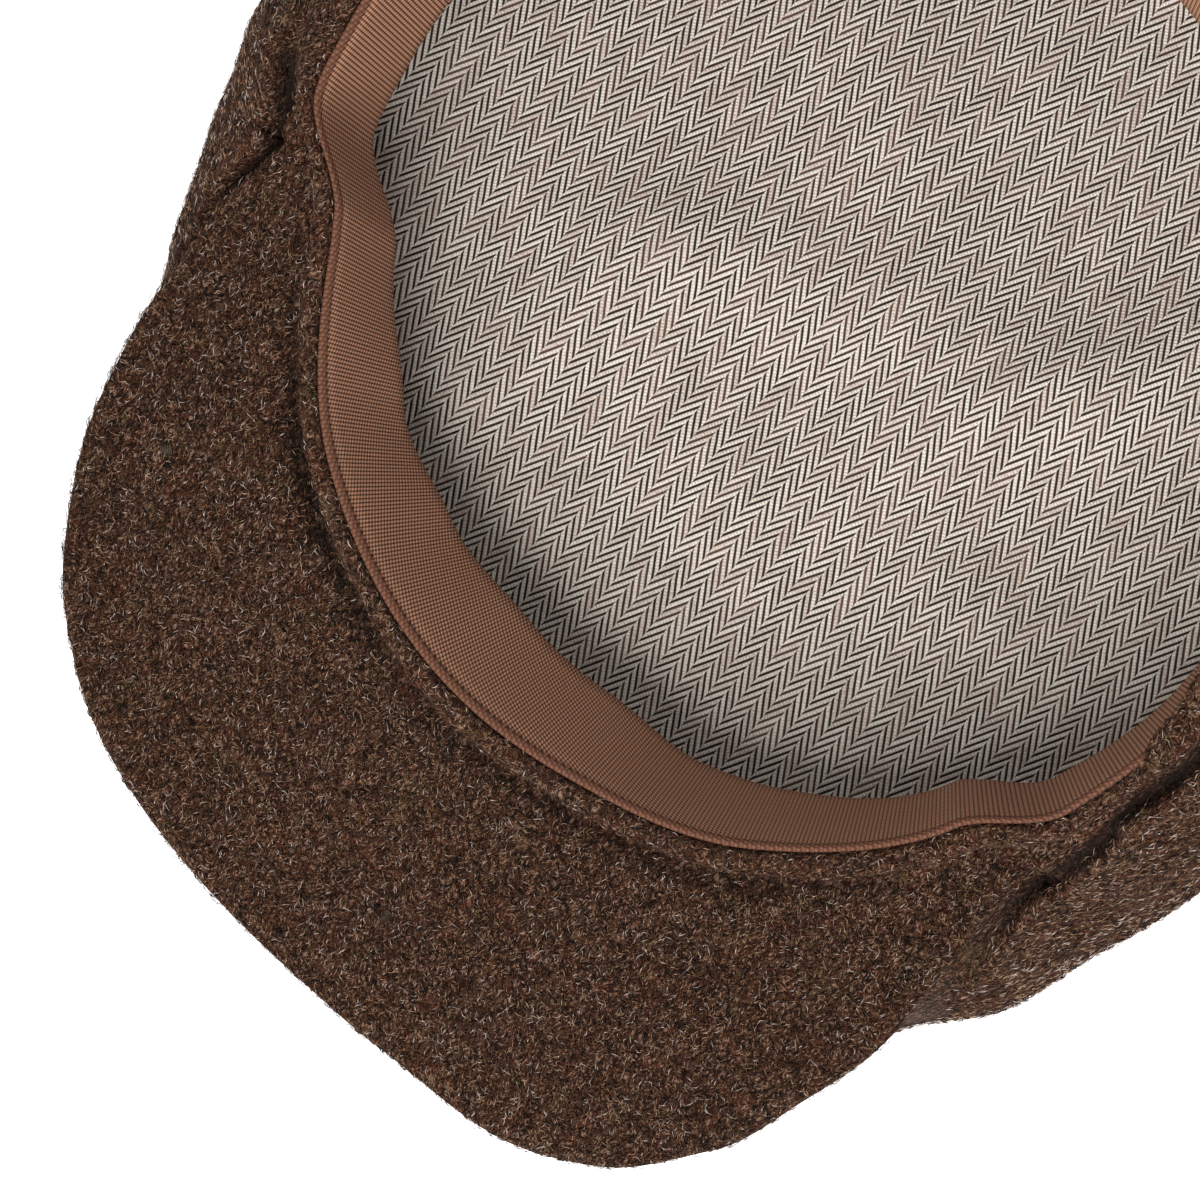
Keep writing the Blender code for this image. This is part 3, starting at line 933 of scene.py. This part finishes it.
def rounded_end(section, beside):
    """Sections that close an end of the peak with a soft round."""
    side = (section[0] - beside[0]).normalized()
    rings = []
    for step in range(1, PEAK_END_STEPS):
        angle = math.pi / 2.0 * step / PEAK_END_STEPS
        ring = []
        for point, partner in zip(section, reversed(section)):
            centre = (point + partner) / 2.0
            bulge = side * (0.4 * PEAK_THICKNESS * math.sin(angle))
            ring.append(centre + (point - centre) * math.cos(angle) + bulge)
        rings.append(ring)
    return rings


def make_peak(rulings, wool):
    """Padded cloth over the stiff peak, with soft round edges on all sides."""
    half = PEAK_THICKNESS / 2.0
    sections = []
    for start, outward, length, normal in rulings:
        seen = []
        depth = PEAK_THICKNESS * from_table(PEAK_VALLEYS, turn_of(start))
        for row in range(PEAK_ROWS + 1):
            distance = length * (row / PEAK_ROWS) ** PEAK_ROW_POWER
            sunk = depth * hump(distance, VALLEY_MIDDLE, VALLEY_SPREAD)
            seen.append(start + outward * distance - normal * sunk)
        middle = seen[-1] - normal * half
        turned = []
        for step in range(1, PEAK_EDGE_STEPS):
            angle = math.pi * step / PEAK_EDGE_STEPS
            turned.append(middle + (normal * math.cos(angle) + outward * math.sin(angle)) * half)
        hidden = [point - normal * PEAK_THICKNESS for point in reversed(seen)]
        sections.append(seen + turned + hidden)
    loops = rounded_end(sections[0], sections[1])[::-1] + sections
    loops += rounded_end(sections[-1], sections[-2])
    rows = len(loops[0])
    points = [point for loop in loops for point in loop]
    faces = strip_faces(len(loops), rows, False, True)
    faces.append(tuple(range(rows)))
    faces.append(tuple(len(points) - rows + row for row in range(rows))[::-1])
    return new_piece("peak_cloth", points, faces, [wool], "peak")


def make_rolled_edge(wool):
    """Soft oval roll of wool around the opening, squared where it lies on the peak."""
    points = []
    for turn in even_turns(RING_STATIONS):
        waver = 0.06 * math.sin(23.0 * turn) + 0.05 * math.sin(37.0 * turn + 1.0)
        lean = ROLL_WIDTH * from_table(ROLL_LEANS, turn)
        middle_radius = rim_radius(turn) + roll_width(turn) / 2.0
        middle_height = rim_height(turn) - ROLL_HEIGHT / 2.0
        valley = 0.75 * PEAK_THICKNESS * from_table(PEAK_VALLEYS, turn)
        for step in range(ROLL_POINTS):
            angle = math.tau * (step + 0.5) / ROLL_POINTS
            across, up = math.cos(angle), math.sin(angle)
            inwards, below = max(-across, 0.0), min(up, 0.0)
            if up < 0.0:
                across = math.copysign(abs(across) ** ROLL_SQUARENESS, across)
                up = -abs(up) ** ROLL_SQUARENESS
            radius = middle_radius + roll_width(turn) / 2.0 * across - lean * inwards
            height = middle_height + ROLL_HEIGHT / 2.0 * (1.0 + waver) * up
            height += ROLL_LEAN_LIFT * lean * inwards + (valley + ROLL_TUCK) * below
            points.append(plan_point(radius, turn, height))
    faces = strip_faces(RING_STATIONS, ROLL_POINTS, True, True)
    return new_piece("rolled_edge_cloth", points, faces, [wool], "rolled_edge")


# Seen face of the sweatband, from its sewn edge to its free edge
BAND_FACE = (
    # distance from the sewn edge (share of the hem, then of the band), height above
    # the back in band thicknesses, share of the rib relief
    (-0.75, 0.00, 0.45, 0.0),
    (-0.40, 0.00, 0.85, 0.0),
    (0.25, 0.00, 1.05, 0.0),
    (0.60, 0.00, 1.20, 0.0),
    (0.95, 0.00, 0.95, 0.1),
    (1.10, 0.00, 0.45, 0.3),
    (1.35, 0.00, 0.45, 0.6),
    (1.60, 0.00, 0.90, 1.0),
    (1.60, 0.10, 1.00, 1.0),
    (1.60, 0.30, 1.00, 1.0),
    (1.60, 0.50, 1.00, 1.0),
    (1.60, 0.70, 1.00, 1.0),
    (1.60, 0.88, 1.00, 1.0),
    (1.60, 0.97, 0.95, 0.7),
    (1.60, 1.00, 0.60, 0.2),
)
# Its back, as shares of the band's width
BAND_BACK = (0.99, 0.5, -0.02)


def make_sweatband(band, hem):
    """Ribbed band with real ribs across it, a hem strip and a sunken line of stitches."""
    count = RIB_COUNT * POINTS_PER_RIB
    rows = len(BAND_FACE) + len(BAND_BACK)
    points, uv = [], []
    for station, turn in enumerate(even_turns(count)):
        slope = math.radians(from_table(BAND_SLOPES, turn))
        down = Vector((-math.cos(slope), -math.sin(slope)))
        face = Vector((-math.sin(slope), math.cos(slope)))
        seam = Vector((rim_radius(turn) - SEAM_GAP, rim_height(turn) - BAND_THICKNESS))
        phase = (station % POINTS_PER_RIB + 0.5) / POINTS_PER_RIB
        rib = math.sin(math.pi * phase) * RIB_DEPTH
        section = [(BAND_WIDTH * share, 0.0) for share in BAND_BACK]
        for hem_share, band_share, lift, relief in reversed(BAND_FACE):
            covered = hem_share * HEM_WIDTH
            height = lift * BAND_THICKNESS - RIB_DEPTH * relief + rib * relief
            section.insert(0, (covered + band_share * (BAND_WIDTH - covered), height))
        for distance, height in section:
            point = seam + down * distance + face * height
            points.append(plan_point(point.x, turn, point.y))
            uv.append((station / POINTS_PER_RIB, distance))
    faces = strip_faces(count, rows, True, True)
    hemmed = np.zeros((count, rows))
    hemmed[:, :HEM_ROWS] = 1
    hemmed[:, -1] = 1
    piece = new_piece("sweatband_ribbed", points, faces, [band, hem], "sweatband",
                      hemmed.ravel())
    set_uv(piece, uv, float(RIB_COUNT))
    return piece


def make_lining(edge, twill):
    """Loose lining with its weave laid flat from the middle of the floor outwards."""
    heights = sorted((turn_of(point), point.z) for point in softened(edge, CROWN_SOFTNESS))
    edge_heights = list(zip(*heights))
    profiles = [lining_profile(turn, edge_heights) for turn in even_turns(LINING_STATIONS)]
    pole = Vector((0.0, 0.0, CROWN_WALL + LINING_CLEARANCE))
    pole.z += fold_lift(pole, LINING_FOLDS)
    points, faces = shell_mesh(profiles, pole, LINING_THICKNESS)
    piece = new_piece("lining_twill", points, faces, [twill], "lining")
    uv = []
    for profile in profiles:
        heading = turn_of(profile[0]) + HERRINGBONE_HEADING
        away = [(profile[-1] - pole).length]
        for here, inner in zip(profile[-2::-1], profile[:0:-1]):
            away.append(away[-1] + (here - inner).length)
        for distance in reversed(away):
            uv.append((distance * math.sin(heading), -distance * math.cos(heading)))
    set_uv(piece, uv + uv + [(0.0, 0.0), (0.0, 0.0)])
    return piece


def threads_piece(name, tails, middles, tips, sides, normals, halves, kinds, materials):
    """Closed spindles through tail, middle and tip, joined into one wool piece."""
    ring = [middles + normals * halves, middles + sides * halves - normals * halves / 2.0,
            middles - sides * halves - normals * halves / 2.0]
    points = np.stack([tails, tips, *ring], 1).reshape(-1, 3)
    pattern = np.array([(0, 3, 2), (0, 4, 3), (0, 2, 4), (1, 2, 3), (1, 3, 4), (1, 4, 2)])
    faces = (pattern[None] + 5 * np.arange(len(tails))[:, None, None]).reshape(-1, 3)
    mesh = new_mesh(name, points.tolist(), faces.tolist(), materials, np.repeat(kinds, 6))
    return riding_piece(name, mesh)


def read(items, field, width=1, kind=float):
    """A field of all items, as rows of the given width."""
    values = np.zeros(len(items) * width, kind)
    items.foreach_get(field, values)
    return values if width == 1 else values.reshape(-1, width)


def mark_painted_shade(piece, crease_shade_marks):
    """Keeps how much painted shade each point of a piece takes in a crease, from 0 to 1."""
    layer = piece.data.attributes.new("crease", "FLOAT", "POINT")
    layer.data.foreach_set("value", crease_shade_marks.astype(np.float32))


def grow_nap(name, piece, seen, count, length, thickness, lift, spread, fibres, seed):
    """Loose bent fibres on a piece, denser where its points are seen more.

    The first of the fibres, the darkest, are also put in the creases as painted shade.
    """
    chance = np.random.default_rng(seed)

    def vary(low, high):
        return chance.uniform(low, high, (count, 1))

    mesh = piece.data
    mesh.calc_loop_triangles()
    corners = read(mesh.loop_triangles, "vertices", 3, np.int32)
    first, second, third = read(mesh.vertices, "co", 3)[corners.T]
    second, third = second - first, third - first
    crossed = np.cross(second, third)
    area = np.linalg.norm(crossed, axis=1)
    weight = area * seen[corners].mean(1)
    chosen = chance.choice(len(corners), count, p=weight / weight.sum())
    one, two = chance.random((2, count, 1))
    over = one + two > 1.0
    one[over], two[over] = 1.0 - one[over], 1.0 - two[over]
    root = first[chosen] + second[chosen] * one + third[chosen] * two
    normal = crossed[chosen] / area[chosen][:, None]
    angle = math.pi / 2.0 + chance.normal(0.0, spread, count)
    lay = np.stack([np.cos(angle), np.sin(angle), np.zeros(count)], 1)
    lay -= normal * (lay * normal).sum(1)[:, None]
    lay /= np.maximum(np.linalg.norm(lay, axis=1), 1e-6)[:, None]
    side = np.cross(normal, lay)
    reach = length * vary(0.5, 1.4)
    bend = chance.normal(0.0, 0.18, (count, 1)) * reach
    rise = lift * vary(0.2, 1.0)
    middle = root + side * bend + normal * rise
    tail = root - lay * reach / 2.0 + normal * thickness * 0.2
    tip = root + lay * reach / 2.0 + normal * rise * vary(0.0, 1.3)
    half = thickness / 2.0 * vary(0.7, 1.3)
    shares = np.cumsum([share for _, share in fibres])
    kinds = np.searchsorted(shares / shares[-1], chance.random(count))
    crease_shade_marks = read(mesh.attributes["crease"].data, "value")
    # Painted shade: the darkest fibres are put where the creases are marked for shade
    kinds[chance.random(count) < crease_shade_marks[corners[chosen]].mean(1)] = 0
    return threads_piece(name, tail, middle, tip, side, normal, half, kinds,
                         [material for material, _ in fibres])


def grow_naps(grounds):
    """All the naps, with more of the pale fibres on the crown."""
    fibres = [(plain_material(name, colour, 0.8), share, more)
              for name, colour, share, more in FIBRES]
    for seed, (name, ground, *sizes) in enumerate(NAPS, 1):
        mixture = [(material, share * more if ground == "crown" else share)
                   for material, share, more in fibres]
        grow_nap(name, *grounds[ground], *sizes, mixture, seed)


def upward(piece, below):
    """1 at the points of a piece that face up, and the value below at the others."""
    facing = read(piece.data.vertices, "normal", 3)[:, 2]
    return np.clip((facing - 0.15) / 0.5, below, 1.0)


def plan_places(piece):
    """Turn, distance from the middle of the opening and height of a piece's points."""
    places = []
    for vertex in piece.data.vertices:
        back = vertex.co.y - MIDDLE_Y
        places.append((math.atan2(vertex.co.x, -back), math.hypot(vertex.co.x, back), vertex.co.z))
    return places


def finish_wool(crown, outside, peak, roll):
    """Paints shade into the creases of the wool and grows its naps, thin there and none on the
    floor.
    """
    on_peak = plan_places(peak)
    past_roll = np.array([distance - rim_radius(turn) - roll_width(turn)
                          for turn, distance, _ in on_peak])
    valley = np.array([from_table(PEAK_VALLEYS, turn) for turn, _, _ in on_peak])
    _, from_middle, heights = np.array(plan_places(crown)).T
    # Painted shade in the creases of the crown and in the valley of the peak, none on the rolled
    # edge
    fading = np.interp(from_middle, *PAINTED_SHADE_FADING)
    mark_painted_shade(crown, fading * hump(outside, CREASE_MIDDLE, CREASE_SHADE))
    mark_painted_shade(peak, VALLEY_SHADE_STRENGTH * valley * hump(past_roll, VALLEY_MIDDLE, VALLEY_SHADE))
    mark_painted_shade(roll, np.zeros(len(roll.data.vertices)))
    off_floor = (outside > 0.0) * (heights > NAP_CLEARANCE)
    grow_naps({
        "peak": (peak, upward(peak, 0.08) * np.clip(past_roll / NAP_THINNING, 0.10, 1.0)),
        "crown": (crown, off_floor * np.clip(outside / NAP_THINNING - 0.3, 0.10, 1.0)),
        "roll": (roll, upward(roll, 0.0)),
    })


def make_tacks(peak, thread, shade):
    """Small bars of satin stitches that hold the layers of the peak together."""
    tree = BVHTree.FromPolygons([vertex.co for vertex in peak.data.vertices],
                                [face.vertices for face in peak.data.polygons])
    rows = []
    for across, back, heading, length, breadth in TACKS:
        along = Vector((math.cos(math.radians(heading)), math.sin(math.radians(heading)), 0.0))
        aside = Vector((-along.y, along.x, 0.0))
        above = Vector((across, back, 0.2))
        for step in range(TACK_STITCHES):
            off = breadth * (step / (TACK_STITCHES - 1) - 0.5)
            rows.append((above + aside * off, along * length / 2.0, TACK_THREAD, 0))
        end = above + along * (length / 2.0 + 0.0002)
        for step in range(TACK_SHADES):
            rows.append((end + along * 0.00025 * step, aside * breadth / 1.6, TACK_SHADE, 1))
    spindles = []
    for centre, reach, half, kind in rows:
        (tail, *_), (middle, normal, *_), (tip, *_) = (
            tree.ray_cast(centre + reach * way, -UP) for way in (-1.0, 0.0, 1.0))
        spindles.append((tail, middle + normal * TACK_LIFT, tip, reach.cross(normal).normalized(),
                         normal, [half], kind))
    parts = (np.array(part) for part in zip(*spindles))
    return threads_piece("peak_tacks", *parts, [thread, shade])


def place_camera():
    """Camera at the photo's angle, with only the turn and lens that its framing needs."""
    data = bpy.data.cameras.new("camera")
    data.lens = CAMERA_LENS
    data.sensor_width = 36.0
    data.clip_start = 0.1
    data.clip_end = 20.0
    camera = add_object("camera", data)
    turned = (Matrix.Rotation(CAMERA_TURN, 4, "Z")
              @ Matrix.Rotation(math.pi / 2.0 - CAMERA_RISE, 4, "X")
              @ Matrix.Rotation(CAMERA_ROLL, 4, "Z"))
    back_off = Matrix.Translation(UP * CAMERA_DISTANCE)
    camera.matrix_world = Matrix.Translation(CAMERA_AIM) @ turned @ back_off
    bpy.context.scene.camera = camera


def light_studio():
    """Pale floor, even sky light and one large soft lamp."""
    pale = plain_material("pale floor", (0.93, 0.93, 0.93), 0.9)
    corners = [(-4, -4, 0), (4, -4, 0), (4, 4, 0), (-4, 4, 0)]
    floor = add_object("floor", new_mesh("floor", corners, [(0, 1, 2, 3)], [pale]))
    world = bpy.data.worlds.new("studio")
    bpy.context.scene.world = world
    world.use_nodes = True
    sky = world.node_tree.nodes["Background"].inputs
    sky["Color"].default_value = (1.0, 1.0, 1.0, 1.0)
    sky["Strength"].default_value = SKY_STRENGTH
    data = bpy.data.lights.new("soft lamp", "AREA")
    data.shape = "DISK"
    data.size = 1.0
    data.energy = LAMP_POWER
    lamp = add_object("soft lamp", data)
    lamp.location = LAMP_PLACE
    lamp.rotation_mode = "QUATERNION"
    lamp.rotation_quaternion = (-LAMP_PLACE).to_track_quat("-Z", "Y")


def main():
    # The wool blends in painted shade where its creases are marked
    wool = patterned_material("milled melange wool with painted crease shade", melange_group(), 0.95, "Object", 0.0004,
                              crease=PAINTED_CREASE_SHADE_COLOUR)
    twill = patterned_material("herringbone twill", herringbone_group(), 0.9, "UV", 0.00018)
    ribbed = ribbed_group()
    band = patterned_material("ribbed brown band", ribbed, 0.8, "UV", 0.00010)
    # The hem takes the band's weave in far darker colours: painted shade over its own slightly
    # redder tone
    hem = patterned_material("hem of the band with painted shade", ribbed, 0.8, "UV", 0.00008,
                             (("Light", (0.130, 0.058, 0.034)), ("Deep", (0.052, 0.020, 0.012))))
    rulings = peak_rulings()
    edge = crown_edge(rulings)
    outline = peak_outline()
    rulings = peak_tail(1.0, outline)[::-1] + rulings + peak_tail(-1.0, outline)
    outline = [start + outward * (length + PEAK_THICKNESS / 2.0)
               for start, outward, length, _ in rulings]
    crown, outside = make_crown(edge, outline, wool)
    peak, roll = make_peak(rulings, wool), make_rolled_edge(wool)
    sweatband = make_sweatband(band, hem)
    lining = make_lining(edge, twill)
    finish_wool(crown, outside, peak, roll)
    make_tacks(peak, plain_material("tack thread", (0.040, 0.029, 0.018), 0.6),
               plain_material("shade beside the tacks", (0.004, 0.003, 0.002), 0.9))
    place_camera()
    light_studio()
    bpy.context.scene.view_settings.view_transform = "Standard"


main()
